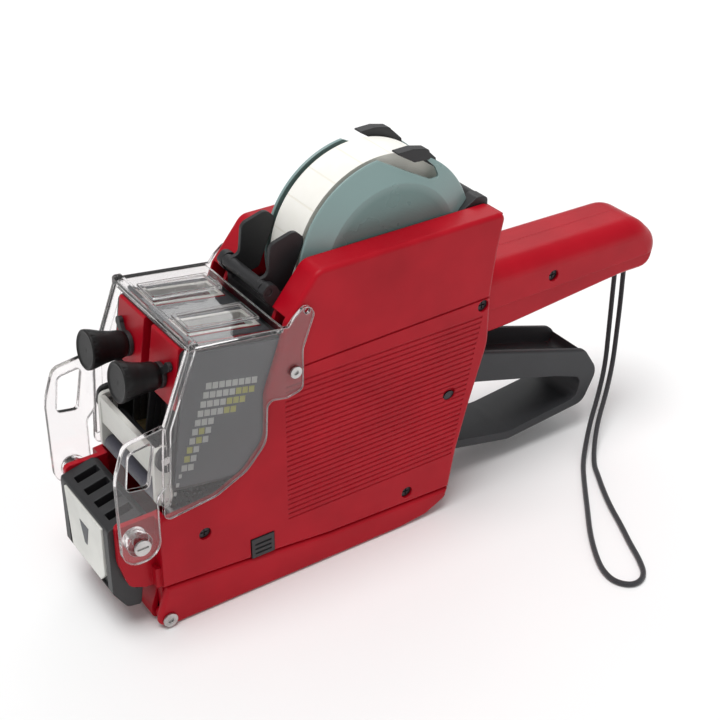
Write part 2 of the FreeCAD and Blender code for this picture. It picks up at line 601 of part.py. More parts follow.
nodes["nose_block"] = nose_block()
half_top = 14.3
half_low = 12.7
face = Part.makePolygon([V(64.6, -half_top, 41.6), V(64.6, half_top, 41.6), V(64.6, half_low + 0.4, 21.5),
                         V(64.6, half_low - 3.0, 17.7), V(64.6, -half_low, 17.7), V(64.6, -half_top, 41.6)])
nodes["nose_plate"] = Part.Face(face).extrude(V(1.2, 0, 0))

# ---------------------------------------------------------------- strip guide lever and its bracket
EAR = [(-6.0, 97.0), (-0.4, 97.0), (-0.4, 102.8), (2.2, 105.8), (3.6, 109.0, 1.5), (1.2, 111.8, 2),
       (-1.6, 111.0, 2), (-6.0, 103.0)]
PADDLE = [
    (2.8, 107.2, 1), (2.9, 111.0, 1.5), (-1.9, 112.0, 2), (-3.0, 122.4, 3), (-12.4, 125.1, 3.4),
    (-15.6, 121.8, 2), (-15.0, 119.0, 2), (-12.6, 113.8, 5), (-8.9, 105.2, 2), (-4.0, 104.2, 2),
]


def guide_bracket():
    bar = box(-6.0, -0.4, -14.8, 14.8, 97.0, 101.8)
    ears = [plate(EAR, 12.0, 14.8), plate(EAR, -14.8, -12.0)]
    bracket = fuse([bar] + ears)
    return bracket.cut(rod_y(GUIDE, 1.2 + RUN, -30, 30))


def guide_lever():
    bar = rod_y(GUIDE, 2.2, -11.7, 11.7).fuse(rod_y(GUIDE, 1.2, -14.6, 14.6))
    paddles = [plate(PADDLE, 8.3, 9.8), plate(PADDLE, -9.8, -8.3)]
    return fuse([bar] + paddles)


nodes["guide_bracket"] = guide_bracket()
nodes["guide_lever"] = guide_lever()

# ---------------------------------------------------------------- roll holder
NOTCH = [
    (-42.3, 142.6), (-63.4, 131.2), (-67.4, 130.8, 0.8), (-66.0, 134.6, 1), (-62.5, 138.0),
    (-62.5, 150.0), (-42.3, 150.0),
]
HUB_R = 12.42
CORE_R = 12.5
CORE_OUT = 14.5


def roll_disc():
    """Dished side disc: flat centre, conical rim towards the roll, hub cup inside."""
    inside = DISC_FACE - DISC_WALL
    profile = [
        (0, DISC_FACE), (DISC_FLAT, DISC_FACE), (DISC_R - 0.5, DISC_RIM + 1.2), (DISC_R, DISC_RIM + 0.8),
        (DISC_R - 0.3, DISC_RIM), (DISC_FLAT, inside), (HUB_R, inside), (HUB_R, 0.3),
        (HUB_R - 1.4, 0.3), (HUB_R - 1.4, inside), (0, inside),
    ]
    return turned_y(ROLL, profile).cut(plate(NOTCH, -20, 20))


TAB = [
    (-49.4, 143.4, 0.3), (-56.3, 143.6, 1.2), (-62.4, 142.2, 1.5), (-63.6, 138.4, 0.8), (-56.7, 138.8, 1.5),
]
TAB_ROOT = [(-58.5, 142.4), (-63.0, 141.2), (-67.0, 137.2), (-67.4, 133.4), (-62.0, 137.2), (-58.5, 139.4)]
disc_pair = roll_disc()
for name, side in SIDES:
    tab = plate(TAB, 9.1, 12.8).fuse(plate(TAB_ROOT, 9.1, 10.6)).cut(disc_pair)
    nodes["roll_disc_" + name] = on_side(disc_pair, side)
    nodes["disc_tab_" + name] = on_side(tab, side)


def holder_bracket():
    arm = [(-87.2, 106.0, 2), (-83.6, 104.6, 2), (-78.5, 102.5, 2), (-74.5, 102.5, 2), (-74.5, 116.0, 2),
           (-82.6, 120.3, 2), (-86.9, 119.4, 1.5)]
    arms = [plate(arm, 9.0, 14.5), plate(arm, -14.5, -9.0)]
    bridge = rod_y((-84.6, 118.0), 1.9, -14.0, 14.0)
    bracket = fuse(arms + [bridge])
    bracket = bracket.cut(rod_y(HOLDER, 1.5 + RUN, -30, 30))
    return bracket.cut(disc_pair).cut(mirrored(disc_pair)).cut(dish_room())


def dish_room():
    """Space inside the dished discs, kept clear for the roll."""
    inside = DISC_FACE - DISC_WALL
    return turned_y(ROLL, [(0, -inside), (DISC_FLAT, -inside), (DISC_R - 0.3, -DISC_RIM),
                           (DISC_R - 0.3, DISC_RIM), (DISC_FLAT, inside), (0, inside)])


nodes["holder_bracket"] = holder_bracket()
nodes["holder_pins"] = Part.makeCompound(both(rod_y(HOLDER, 1.5, 10.0, SLOT + 2.5)))
nodes["roll_core"] = rod_y(ROLL, CORE_OUT, -8.2, 8.2).cut(rod_y(ROLL, CORE_R, -20, 20))
nodes["label_roll"] = rod_y(ROLL, ROLL_R, -8.0, 8.0).cut(rod_y(ROLL, CORE_OUT, -20, 20))

# ---------------------------------------------------------------- clear cover
COVER_SIDE = [
    (35.4, 106.4, 3), (46.3, 78.5, 8), (48.9, 45.2, 2.5), (29.6, 47.5, 10), (18.1, 52.9, 10),
    (10.2, 61.4, 9), (9.3, 77.0, 2.5), (2.0, 75.5, 3), (-4.2, 76.9, 2.5), (-4.4, 92.0, 8),
    (-9.0, 104.0, 2.5), (-6.5, 108.4, 2.5), (-1.5, 104.5, 1.5), (0.8, 101.8),
]
COVER_RIM = [(35.4, 106.0), (46.3, 78.5, 8), (48.3, 50.5), (45.8, 50.5), (43.7, 78.2, 8), (33.0, 104.8)]
LOOP = [
    (46.2, 81.5, 1), (60.4, 79.6, 4), (64.4, 68.0, 20), (64.6, 33.2, 6.3), (51.0, 33.2, 6.3),
    (50.6, 56.0, 4), (46.6, 60.0, 2),
]
LOOP_HOLE = [(59.2, 76.0, 2.2), (50.4, 77.2, 1.5), (53.4, 61.3, 1.5), (61.0, 62.6, 1.5)]
COVER_Y = (25.15, 26.5)
RIVET = (-1.2, 84.6)
TOP_LINE = (1.2, 101.85)     # a point (x, z) on the upper face of the cover's top
TOP_RISE = 0.133             # rise of that face per mm towards the nose
WINDOW_X = (6.5, 31.5)
WINDOW_Y = (6.2, 17.6)
RIM = 1.2


def top_strip(x0, x1, y0, y1, below, above):
    """Slab along the sloping top of the cover, measured up and down from its upper face."""
    z0 = TOP_LINE[1] + (x0 - TOP_LINE[0]) * TOP_RISE
    z1 = TOP_LINE[1] + (x1 - TOP_LINE[0]) * TOP_RISE
    return plate([(x0, z0 + below), (x1, z1 + below), (x1, z1 + above), (x0, z0 + above)], y0, y1)


def window_rim():
    """Raised frame round the left line's window."""
    x0, x1 = WINDOW_X
    y0, y1 = WINDOW_Y
    frame = top_strip(x0, x1, y0, y1, -0.2, 0.8)
    return frame.cut(top_strip(x0 + RIM, x1 - RIM, y0 + RIM, y1 - RIM, -5, 5))


def clear_cover():
    top = plate([(2.4, 102.0), (35.4, 106.4, 1), (34.6, 104.3), (2.6, 100.3)], -26.5, 26.5)
    front_rim = plate([(32.4, 106.9, 0.8), (36.0, 107.2, 1.0), (36.4, 103.6, 1.0), (33.2, 103.9, 0.8)],
                      -26.5, 26.5)
    parts = [top, front_rim]
    for shape in (
            plate(COVER_SIDE, COVER_Y[0], COVER_Y[1]),
            plate(COVER_RIM, 23.8, COVER_Y[1]),
            plate(LOOP, 25.4, 27.3),
            rod_y(COVER, 4.2, NOSE_HALF + 0.2, 25.6)):
        parts += both(shape)
    cover = fuse(parts)
    cover = cover.fuse(both(window_rim()))
    holes = both(rod_y(COVER, 1.5 + RUN, 20, 30)) + both(plate(LOOP_HOLE, 25, 28))
    rivet_holes = both(rod_y(RIVET, 1.2, 25, 28)) + both(rod_y((-6.2, 105.6), 1.1, 25, 28))
    return cover.cut(Part.makeCompound(holes + rivet_holes)).removeSplitter()


nodes["clear_cover"] = clear_cover()
rivet = rod_y(RIVET, 1.2, COVER_Y[0], COVER_Y[1]).fuse(rod_y(RIVET, 2.1, COVER_Y[1], 27.2))
rivet = rivet.cut(rod_y(RIVET, 0.9, 26.6, 28))
nodes["cover_rivets"] = Part.makeCompound(both(rivet))
screw = rod_y(COVER, 1.5, 16.0, 27.4).fuse(rod_y(COVER, 2.9, 27.4, 28.3))
screw = screw.cut(box(COVER[0] - 2.0, COVER[0] + 2.0, 27.8, 29, COVER[1] - 0.35, COVER[1] + 0.35))
nodes["cover_screws"] = Part.makeCompound(both(screw))

# ---------------------------------------------------------------- lanyard
CORD_R = 1.0
FLOOR = CORD_R + 0.02
LANYARD = [
    (EXIT_X[0], 0.0, EXIT_Z), (EXIT_X[0], 0.0, 57.5), (-165.5, 1.2, 47.0), (-163.2, 3.6, 35.6),
    (-159.0, 7.9, 22.9), (-151.2, 13.5, 13.6), (-142.7, 19.3, 8.0), (-135.4, 25.2, 2.6),
    (-126.9, 33.3, FLOOR), (-118.5, 43.8, FLOOR), (-109.7, 55.3, FLOOR), (-101.0, 66.5, FLOOR),
    (-94.6, 76.5, FLOOR), (-90.4, 85.0, FLOOR), (-89.8, 92.2, FLOOR), (-94.4, 97.2, FLOOR),
    (-101.0, 95.4, FLOOR), (-105.4, 88.0, FLOOR), (-109.0, 79.0, FLOOR), (-113.6, 69.3, FLOOR),
    (-117.4, 60.0, FLOOR), (-122.2, 50.4, FLOOR), (-127.4, 41.4, FLOOR), (-130.6, 35.6, FLOOR),
    (-137.4, 27.9, 3.2), (-144.5, 21.6, 8.9), (-153.0, 15.8, 14.3), (-161.0, 10.0, 23.4),
    (-166.0, 5.4, 36.0), (-169.6, 2.0, 47.2), (EXIT_X[1], 0.0, 57.5), (EXIT_X[1], 0.0, EXIT_Z),
]


def cord_tube(route, radius):
    """Tube along straight runs joined by arcs as large as the runs allow."""
    points = [V(*p) for p in route]
    runs = [points[i].distanceToPoint(points[i + 1]) for i in range(len(points) - 1)]
    edges = []
    radii = []
    at = points[0]
    for i in range(1, len(points) - 1):
        turn = (points[i] - points[i - 1]).getAngle(points[i + 1] - points[i])
        arc_radius = 0.45 * min(runs[i - 1], runs[i]) / math.tan(turn / 2)
        radii.append(round(arc_radius, 1))
        start, middle, end = corner_points(points[i - 1], points[i], points[i + 1], arc_radius)
        edges.append(Part.LineSegment(at, start).toShape())
        edges.append(Part.Arc(start, middle, end).toShape())
        at = end
    edges.append(Part.LineSegment(at, points[-1]).toShape())
    path = Part.Wire(edges)
    section = Part.Wire(Part.makeCircle(radius, points[0], points[1] - points[0]))
    tube = path.makePipeShell([section], True, False)
    print("cord radii", radii)
    print("cord length", round(path.Length, 1), "volume ratio",
          round(tube.Volume / (math.pi * radius ** 2 * path.Length), 4))
    return tube


anchor = box(ANCHOR[0], ANCHOR[1], -ANCHOR_HALF, ANCHOR_HALF, EXIT_Z, EXIT_Z + ANCHOR_DEEP)
nodes["lanyard_anchor"] = anchor
nodes["lanyard_cord"] = cord_tube(LANYARD, CORD_R)


os.makedirs("parts", exist_ok=True)
for name, shape in nodes.items():
    solids = shape.Solids
    if len(solids) == 1:
        shape = solids[0]
    good = all(s.isValid() and s.Volume > 0 for s in solids)
    if not good or not solids:
        print("CHECK", name, len(solids), [round(s.Volume, 2) for s in solids])
    shape.exportStep("parts/" + name + ".step")
print(len(nodes), "nodes")
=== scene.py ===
import math

import bmesh
import bpy
from mathutils import Matrix, Vector


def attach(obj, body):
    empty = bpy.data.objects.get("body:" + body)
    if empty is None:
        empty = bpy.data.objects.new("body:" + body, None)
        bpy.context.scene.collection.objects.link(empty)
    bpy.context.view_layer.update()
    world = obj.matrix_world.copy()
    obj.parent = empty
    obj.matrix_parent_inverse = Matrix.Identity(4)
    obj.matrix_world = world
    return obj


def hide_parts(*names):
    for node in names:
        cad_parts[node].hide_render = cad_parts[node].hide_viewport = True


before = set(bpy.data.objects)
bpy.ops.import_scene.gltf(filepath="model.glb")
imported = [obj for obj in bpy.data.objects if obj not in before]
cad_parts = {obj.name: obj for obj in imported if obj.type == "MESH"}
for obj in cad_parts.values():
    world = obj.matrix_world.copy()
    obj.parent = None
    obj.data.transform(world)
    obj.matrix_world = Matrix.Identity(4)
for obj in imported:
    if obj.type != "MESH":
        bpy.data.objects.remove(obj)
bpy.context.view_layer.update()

MM = 0.001
ROLL_CENTRE = (-0.0475, 0.0, 0.1075)
# The teal discs are painted lighter across this span, a painted highlight on the slope.
CREASE = (0.0230, 0.0265)        # radii between which a disc's flat face gives way to its slope
LABELS_PER_TURN = 19.0
LABEL_GAP = 0.05                 # share of a label's pitch


def mm(*point):
    return Vector(point) * MM


# ---------------------------------------------------------------- camera
AZIMUTH = math.radians(145.954)
ELEVATION = math.radians(31.924)
ROLL = math.radians(0.21)
CAMERA_PLACE = (197.81, 358.03, 329.75)
LENS = 71.155


def add_camera():
    back = Vector((math.sin(AZIMUTH) * math.cos(ELEVATION),
                   -math.cos(AZIMUTH) * math.cos(ELEVATION), math.sin(ELEVATION)))
    level = (-back).cross(Vector((0, 0, 1))).normalized()
    upright = level.cross(-back)
    right = math.cos(ROLL) * level + math.sin(ROLL) * upright
    up = math.cos(ROLL) * upright - math.sin(ROLL) * level
    data = bpy.data.cameras.new("camera")
    data.sensor_width = 36.0
    data.lens = LENS
    data.clip_start = 0.01
    camera = bpy.data.objects.new("camera", data)
    rotation = Matrix((right, up, back)).transposed()
    camera.matrix_world = Matrix.Translation(mm(*CAMERA_PLACE)) @ rotation.to_4x4()
    bpy.context.scene.collection.objects.link(camera)
    bpy.context.scene.camera = camera


add_camera()


# ---------------------------------------------------------------- material helpers
class Shade:
    """A Principled material with helpers for its procedural nodes."""

    def __init__(self, name, **values):
        self.mat = bpy.data.materials.new(name)
        self.mat.use_nodes = True
        self.tree = self.mat.node_tree
        self.out = self.tree.nodes["Principled BSDF"]
        self.coords = self.tree.nodes.new("ShaderNodeTexCoord").outputs["Object"]
        for key, value in values.items():
            self.out.inputs[key.replace("_", " ")].default_value = value

    def node(self, kind, inputs=None, **settings):
        made = self.tree.nodes.new("ShaderNode" + kind)
        for key, value in settings.items():
            setattr(made, key, value)
        for key, value in (inputs or {}).items():
            if isinstance(value, bpy.types.NodeSocket):
                self.tree.links.new(value, made.inputs[key])
            else:
                made.inputs[key].default_value = value
        return made

    def link(self, output, name):
        self.tree.links.new(output, self.out.inputs[name])

    def stretched(self, scale):
        return self.node("Mapping", {"Vector": self.coords, "Scale": scale}).outputs["Vector"]

    def from_roll_centre(self, scale):
        place = tuple(-c for c in ROLL_CENTRE)
        made = self.node("Mapping", {"Vector": self.coords, "Location": place, "Scale": scale})
        return made.outputs["Vector"]

    def noise(self, scale, detail=3.0, rough=0.55, vector=None):
        made = self.node("TexNoise", {"Vector": vector or self.coords, "Scale": scale, "Detail": detail,
                                      "Roughness": rough})
        return made.outputs["Fac"]

    def ramp(self, value, low, high, to_low=0.0, to_high=1.0):
        made = self.node("MapRange", {"Value": value, "From Min": low, "From Max": high,
                                      "To Min": to_low, "To Max": to_high})
        return made.outputs["Result"]

    def mix(self, share, first, second):
        made = self.node("Mix", {"Factor": share}, data_type="RGBA")
        for key, value in ((6, first), (7, second)):
            if isinstance(value, bpy.types.NodeSocket):
                self.tree.links.new(value, made.inputs[key])
            else:
                made.inputs[key].default_value = value
        return made.outputs[2]

    def math(self, operation, first, second):
        return self.node("Math", {0: first, 1: second}, operation=operation).outputs[0]

    def edges(self, radius):
        """1 along convex and concave edges, 0 on open faces."""
        bevel = self.node("Bevel", {"Radius": radius}, samples=4).outputs["Normal"]
        plain = self.node("NewGeometry").outputs["Normal"]
        facing = self.node("VectorMath", {0: bevel, 1: plain}, operation="DOT_PRODUCT")
        return self.ramp(facing.outputs["Value"], 0.99, 0.80), bevel

    def bump(self, height, distance, strength=1.0, normal=None):
        inputs = {"Height": height, "Distance": distance, "Strength": strength}
        if normal is not None:
            inputs["Normal"] = normal
        return self.node("Bump", inputs).outputs["Normal"]


def srgb(r, g, b):
    """Linear colour from 0 to 255 display values."""
    return tuple((v / 255 / 12.92 if v <= 10 else ((v / 255 + 0.055) / 1.055) ** 2.4)
                 for v in (r, g, b)) + (1.0,)


def moulded(name, color, rough, edge_wear_and_highlight, grain=0.00002, radius=0.0005, **values):
    """Moulded plastic: soft colour drift, fine grain, paler edges (partly rubbed wear, partly a painted edge
    highlight), uneven sheen.
    """
    s = Shade(name, **values)
    drift = s.noise(38.0)
    cloud = s.noise(7.0, 2.0)
    fine = s.noise(2600.0, 2.0)
    dark = tuple(c * 0.86 for c in color[:3]) + (1.0,)
    light = tuple(min(1.0, c * 1.10 + 0.003) for c in color[:3]) + (1.0,)
    base = s.mix(s.ramp(drift, 0.3, 0.7), dark, light)
    edge, bevel = s.edges(radius)
    scuffs = s.ramp(s.noise(420.0, 4.0, 0.7), 0.45, 0.70)
    # Paler edge colour: partly rubbed wear, partly a painted highlight along the edges.
    rubbed_and_highlit = s.math("MULTIPLY", edge, s.math("MULTIPLY", scuffs, 0.6))
    s.link(s.mix(rubbed_and_highlit, base, edge_wear_and_highlight), "Base Color")
    uneven = s.math("ADD", s.ramp(cloud, 0.3, 0.7, -0.05, 0.05), s.ramp(fine, 0.3, 0.7, -0.04, 0.04))
    s.link(s.math("ADD", s.math("ADD", uneven, rough), s.math("MULTIPLY", rubbed_and_highlit, 0.12)), "Roughness")
    s.link(s.bump(fine, grain, 0.8, bevel), "Normal")
    return s.mat


def metal(name, color, rough, along=(1.0, 1.0, 1.0), radius=0.0002):
    """Turned or drawn metal with fine marks along one direction."""
    s = Shade(name, Metallic=1.0)
    marks = s.noise(900.0, 3.0, 0.6, s.stretched(along))
    stains = s.noise(160.0, 3.0)
    dark = tuple(c * 0.62 for c in color[:3]) + (1.0,)
    s.link(s.mix(s.ramp(stains, 0.35, 0.75), color, dark), "Base Color")
    s.link(s.ramp(marks, 0.3, 0.7, rough - 0.08, rough + 0.12), "Roughness")
    s.link(s.bump(marks, 0.00001, 0.6, s.edges(radius)[1]), "Normal")
    return s.mat


def clear_plastic(name):
    """Clear moulding with faint haze, hairline scratches and paler, less clear edges that are a painted edge
    highlight.
    """
    s = Shade(name, Transmission_Weight=1.0, IOR=1.49, Specular_IOR_Level=0.3)
    edge, bevel = s.edges(0.0006)
    hazy = s.ramp(s.noise(60.0, 4.0), 0.55, 0.85, 0.0, 0.03)
    hair = s.ramp(s.noise(300.0, 5.0, 0.7, s.stretched((1.0, 1.0, 9.0))), 0.66, 0.74, 0.0, 0.05)
    # Painted highlight: along the edges the moulding is made less clear and pale pinkish white.
    s.link(s.mix(edge, (1.0, 0.985, 0.985, 1.0), (1.0, 0.95, 0.95, 1.0)), "Base Color")
    s.link(s.math("SUBTRACT", 1.0, s.math("MULTIPLY", edge, 0.65)), "Transmission Weight")
    s.link(s.math("ADD", s.math("MAXIMUM", hazy, hair), s.math("MULTIPLY", edge, 0.12)), "Roughness")
    s.link(s.bump(s.noise(130.0, 2.0), 0.00003, 0.5, bevel), "Normal")
    return s.mat


def tinted_disc(name):
    """Translucent grey-green disc with faint turning rings; its slope outside the crease and its edges and
    crease are painted lighter as a painted highlight.
    """
    s = Shade(name, Transmission_Weight=0.12, IOR=1.49)
    centre = s.from_roll_centre((1.0, 0.0, 1.0))
    rings = s.node("TexWave", {"Vector": centre, "Scale": 260.0, "Distortion": 0.6, "Detail": 1.0},
                   wave_type="RINGS", rings_direction="SPHERICAL").outputs["Fac"]
    cloud = s.noise(45.0)
    edge, bevel = s.edges(0.0005)
    radius = s.node("VectorMath", {0: centre}, operation="LENGTH").outputs["Value"]
    face = s.mix(s.ramp(cloud, 0.3, 0.7), srgb(112, 142, 139), srgb(116, 146, 143))
    # Painted highlight: the sloping band outside the crease is coloured lighter than the flat face.
    base = s.mix(s.ramp(radius, *CREASE), face, srgb(142, 168, 166))
    # Painted highlight: edges and the crease are coloured pale.
    s.link(s.mix(edge, base, srgb(176, 200, 198)), "Base Color")
    s.link(s.ramp(cloud, 0.3, 0.7, 0.24, 0.38), "Roughness")
    s.link(s.bump(rings, 0.000015, 0.5, bevel), "Normal")
    return s.mat


def wound_paper(name):
    """Label roll: layer edges on the sides, label gaps across the outer turn."""
    s = Shade(name, Roughness=0.75)
    centre = s.from_roll_centre((1.0, 1.0, 1.0))
    apart = s.node("SeparateXYZ", {"Vector": centre})
    flat = s.node("CombineXYZ", {"X": apart.outputs["X"], "Z": apart.outputs["Z"]}).outputs["Vector"]
    radius = s.node("VectorMath", {0: flat}, operation="LENGTH").outputs["Value"]
    layers = s.noise(1.0, 2.0, 0.6, s.node("CombineXYZ", {
        "X": s.math("MULTIPLY", radius, 5200.0)}).outputs["Vector"])
    angle = s.math("ARCTAN2", apart.outputs["Z"], apart.outputs["X"])
    label = s.math("FRACT", s.math("MULTIPLY", angle, LABELS_PER_TURN / (2 * math.pi)), 0.0)
    gap = s.math("LESS_THAN", label, LABEL_GAP)
    side = s.math("ABSOLUTE", s.node("SeparateXYZ", {
        "Vector": s.node("NewGeometry").outputs["Normal"]}).outputs["Y"], 0.0)
    across = s.math("MULTIPLY", gap, s.math("SUBTRACT", 1.0, side))
    paper = s.mix(s.ramp(s.noise(90.0), 0.3, 0.7), srgb(246, 244, 236), srgb(252, 250, 244))
    lined = s.mix(s.math("MULTIPLY", s.ramp(layers, 0.3, 0.7), s.math("MULTIPLY", side, 0.6)),
                  paper, srgb(222, 216, 198))
    s.link(s.mix(s.math("MULTIPLY", across, 0.5), lined, srgb(232, 227, 212)), "Base Color")
    fibres = s.noise(3200.0, 2.0)
    height = s.math("SUBTRACT", s.math("MULTIPLY", s.math("MULTIPLY", layers, side), 0.5), across)
    s.link(s.bump(s.math("ADD", height, s.math("MULTIPLY", fibres, 0.2)), 0.00006, 0.7), "Normal")
    return s.mat


def braided(name, color):
    """Tightly woven cord cover."""
    s = Shade(name, Sheen_Weight=0.35, Sheen_Roughness=0.5)
    weave = s.node("TexVoronoi", {"Vector": s.coords, "Scale": 1900.0,
                                  "Randomness": 0.45}).outputs["Distance"]
    fibre = s.noise(5200.0, 2.0)
    pale = tuple(c * 1.9 + 0.01 for c in color[:3]) + (1.0,)
    s.link(s.mix(s.ramp(weave, 0.1, 0.6), pale, color), "Base Color")
    s.link(s.ramp(fibre, 0.3, 0.7, 0.62, 0.85), "Roughness")
    s.link(s.bump(s.math("ADD", weave, s.math("MULTIPLY", fibre, 0.3)), 0.00012, 1.0), "Normal")
    return s.mat


def felt(name, color):
    s = Shade(name, Sheen_Weight=0.5, Sheen_Roughness=0.6)
    hairs = s.noise(1500.0, 5.0, 0.8)
    dark = tuple(c * 0.5 for c in color[:3]) + (1.0,)
    s.link(s.mix(s.ramp(hairs, 0.3, 0.7), dark, color), "Base Color")
    s.link(s.ramp(hairs, 0.3, 0.7, 0.8, 0.95), "Roughness")
    s.link(s.bump(hairs, 0.0003, 1.0), "Normal")
    return s.mat


def card(name):
    s = Shade(name)
    fibres = s.noise(900.0, 5.0, 0.7, s.stretched((1.0, 0.25, 1.0)))
    s.link(s.mix(s.ramp(fibres, 0.3, 0.7), srgb(150, 122, 88), srgb(186, 158, 120)), "Base Color")
    s.link(s.ramp(fibres, 0.3, 0.7, 0.8, 0.95), "Roughness")
    s.link(s.bump(fibres, 0.00008, 0.8), "Normal")
    return s.mat


# ---------------------------------------------------------------- materials and where they go
RED = srgb(174, 0, 26)
BLACK = srgb(36, 36, 38)
# The fourth colour of each moulded finish is its paler edge colour: partly rubbed wear, partly painted edge
# highlight.
red = moulded("red_plastic", RED, 0.40, srgb(214, 50, 64), Specular_IOR_Level=0.2)
black = moulded("black_plastic", BLACK, 0.48, srgb(84, 84, 86), grain=0.00003)
knob_black = moulded("knob_plastic", srgb(12, 11, 12), 0.42, srgb(70, 62, 58), radius=0.0008,
                     Specular_IOR_Level=0.3)
lever_black = moulded("lever_plastic", srgb(46, 47, 50), 0.55, srgb(92, 92, 94), grain=0.00004)
plate_grey = moulded("plate_plastic", srgb(74, 78, 82), 0.45, srgb(112, 114, 118), grain=0.000004)
white = moulded("white_plastic", srgb(226, 226, 220), 0.42, srgb(246, 246, 242))
print_white = moulded("print_white", srgb(190, 194, 190), 0.6, srgb(205, 208, 204))
print_yellow = moulded("print_yellow", srgb(176, 176, 92), 0.6, srgb(190, 190, 112))
mark_grey = moulded("mark_grey", srgb(92, 94, 98), 0.6, srgb(120, 122, 126))
rubber = moulded("band_rubber", srgb(40, 40, 42), 0.7, srgb(80, 80, 80), grain=0.00005)
clear = clear_plastic("clear_plastic")
teal = tinted_disc("teal_plastic")
paper = wound_paper("label_paper")
core = card("core_card")
cord_cover = braided("cord_nylon", srgb(34, 34, 38))
ink_felt = felt("ink_felt", srgb(34, 34, 62))
steel = metal("steel", (0.62, 0.61, 0.60, 1.0), 0.30)
wire = metal("spring_steel", (0.42, 0.42, 0.43, 1.0), 0.34)
dark_steel = metal("blackened_steel", (0.07, 0.07, 0.075, 1.0), 0.42)
link_steel = metal("link_steel", (0.55, 0.55, 0.56, 1.0), 0.38, (0.2, 1.0, 1.0))
type_brass = metal("type_brass", (0.72, 0.56, 0.28, 1.0), 0.36, (0.3, 1.0, 1.0))

FINISH = {
    "left_housing": red, "right_housing": red, "bottom_cover": red,
    "head_case_left": red, "head_case_right": red,
    "trigger_lever": lever_black, "knob_left": knob_black, "knob_right": knob_black,
    "side_plate_left": plate_grey, "side_plate_right": plate_grey,
    "head_top_plate": plate_grey,
    "band_wheels_left": rubber, "band_wheels_right": rubber,
    "selected_wheel_left": rubber, "selected_wheel_right": rubber,
    "clear_cover": clear, "roll_disc_left": teal, "roll_disc_right": teal,
    "nose_plate": white, "ink_arm": white,
    "label_roll": paper, "roll_core": core, "ink_roller": ink_felt,
    "print_bands_left": rubber, "print_bands_right": rubber,
    "type_bar_left": type_brass, "type_bar_right": type_brass, "drive_link": link_steel,
    "trigger_spring": wire, "latch_spring_left": wire, "latch_spring_right": wire,
    "housing_screws": dark_steel, "base_hinge_pins": steel, "trigger_pin": dark_steel,
    "head_pivot_shaft": steel, "platen": steel, "feed_axle": steel, "holder_pins": steel,
    "cover_screws": steel, "lever_link_pin": steel, "head_link_pin": steel,
    "ink_arm_pins": steel, "ink_axle": steel, "cover_rivets": steel,
    "lanyard_cord": cord_cover,
}


def dress(obj, mat):
    if not obj.data.materials:
        obj.data.materials.append(mat)
    for place in obj.material_slots:
        place.material = mat


for name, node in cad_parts.items():
    dress(node, FINISH.get(name, black))


# ---------------------------------------------------------------- lanyard cord
FLOOR = 1.02
CORD_ROUTE = [
    (-166.6, 0.0, 65.2), (-166.6, 0.0, 57.5), (-165.5, 1.2, 47.0), (-163.2, 3.6, 35.6),
    (-159.0, 7.9, 22.9), (-151.2, 13.5, 13.6), (-142.7, 19.3, 8.0), (-135.4, 25.2, 2.6),
    (-126.9, 33.3, FLOOR), (-118.5, 43.8, FLOOR), (-109.7, 55.3, FLOOR), (-101.0, 66.5, FLOOR),
    (-94.6, 76.5, FLOOR), (-90.4, 85.0, FLOOR), (-89.8, 92.2, FLOOR), (-94.4, 97.2, FLOOR),
    (-101.0, 95.4, FLOOR), (-105.4, 88.0, FLOOR), (-109.0, 79.0, FLOOR), (-113.6, 69.3, FLOOR),
    (-117.4, 60.0, FLOOR), (-122.2, 50.4, FLOOR), (-127.4, 41.4, FLOOR), (-130.6, 35.6, FLOOR),
    (-137.4, 27.9, 3.2), (-144.5, 21.6, 8.9), (-153.0, 15.8, 14.3), (-161.0, 10.0, 23.4),
    (-166.0, 5.4, 36.0), (-169.6, 2.0, 47.2), (-171.4, 0.0, 57.5), (-171.4, 0.0, 65.2),
]


def add_cord():
    data = bpy.data.curves.new("cord", "CURVE")
    data.dimensions = "3D"
    data.bevel_depth = 1.0 * MM
    data.bevel_resolution = 4
    data.resolution_u = 8
    data.use_fill_caps = True
    spline = data.splines.new("NURBS")
    spline.points.add(len(CORD_ROUTE) - 1)
    for point, place in zip(spline.points, CORD_ROUTE):
        point.co = (*mm(*place), 1.0)
    spline.order_u = 3
    spline.use_endpoint_u = True
    cord = bpy.data.objects.new("cord", data)
    bpy.context.scene.collection.objects.link(cord)
    data.materials.append(cord_cover)
    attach(cord, "housing")
    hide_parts("lanyard_cord")


add_cord()


# ---------------------------------------------------------------- printed marks
def mesh_piece(name, mat, body, build):
    """Object from a bmesh that build fills in; it rides on a CAD body."""
    data = bpy.data.meshes.new(name)
    mesh = bmesh.new()
    build(mesh)
    bmesh.ops.recalc_face_normals(mesh, faces=mesh.faces)
    mesh.to_mesh(data)
    mesh.free()
    data.materials.append(mat)
    obj = bpy.data.objects.new(name, data)
    bpy.context.scene.collection.objects.link(obj)
    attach(obj, body)
    return obj


def close_between(mesh, near, far):
    """Two end faces and the walls that join them."""
    mesh.faces.new(near)
    mesh.faces.new(far[::-1])
    for i in range(len(near)):
        j = (i + 1) % len(near)
        mesh.faces.new((near[j], near[i], far[i], far[j]))


def prism(mesh, corners, y0, y1):
    """Solid between two planes of constant y from (x, z) corners in millimetres."""
    near = [mesh.verts.new(mm(x, y0, z)) for x, z in corners]
    far = [mesh.verts.new(mm(x, y1, z)) for x, z in corners]
    close_between(mesh, near, far)


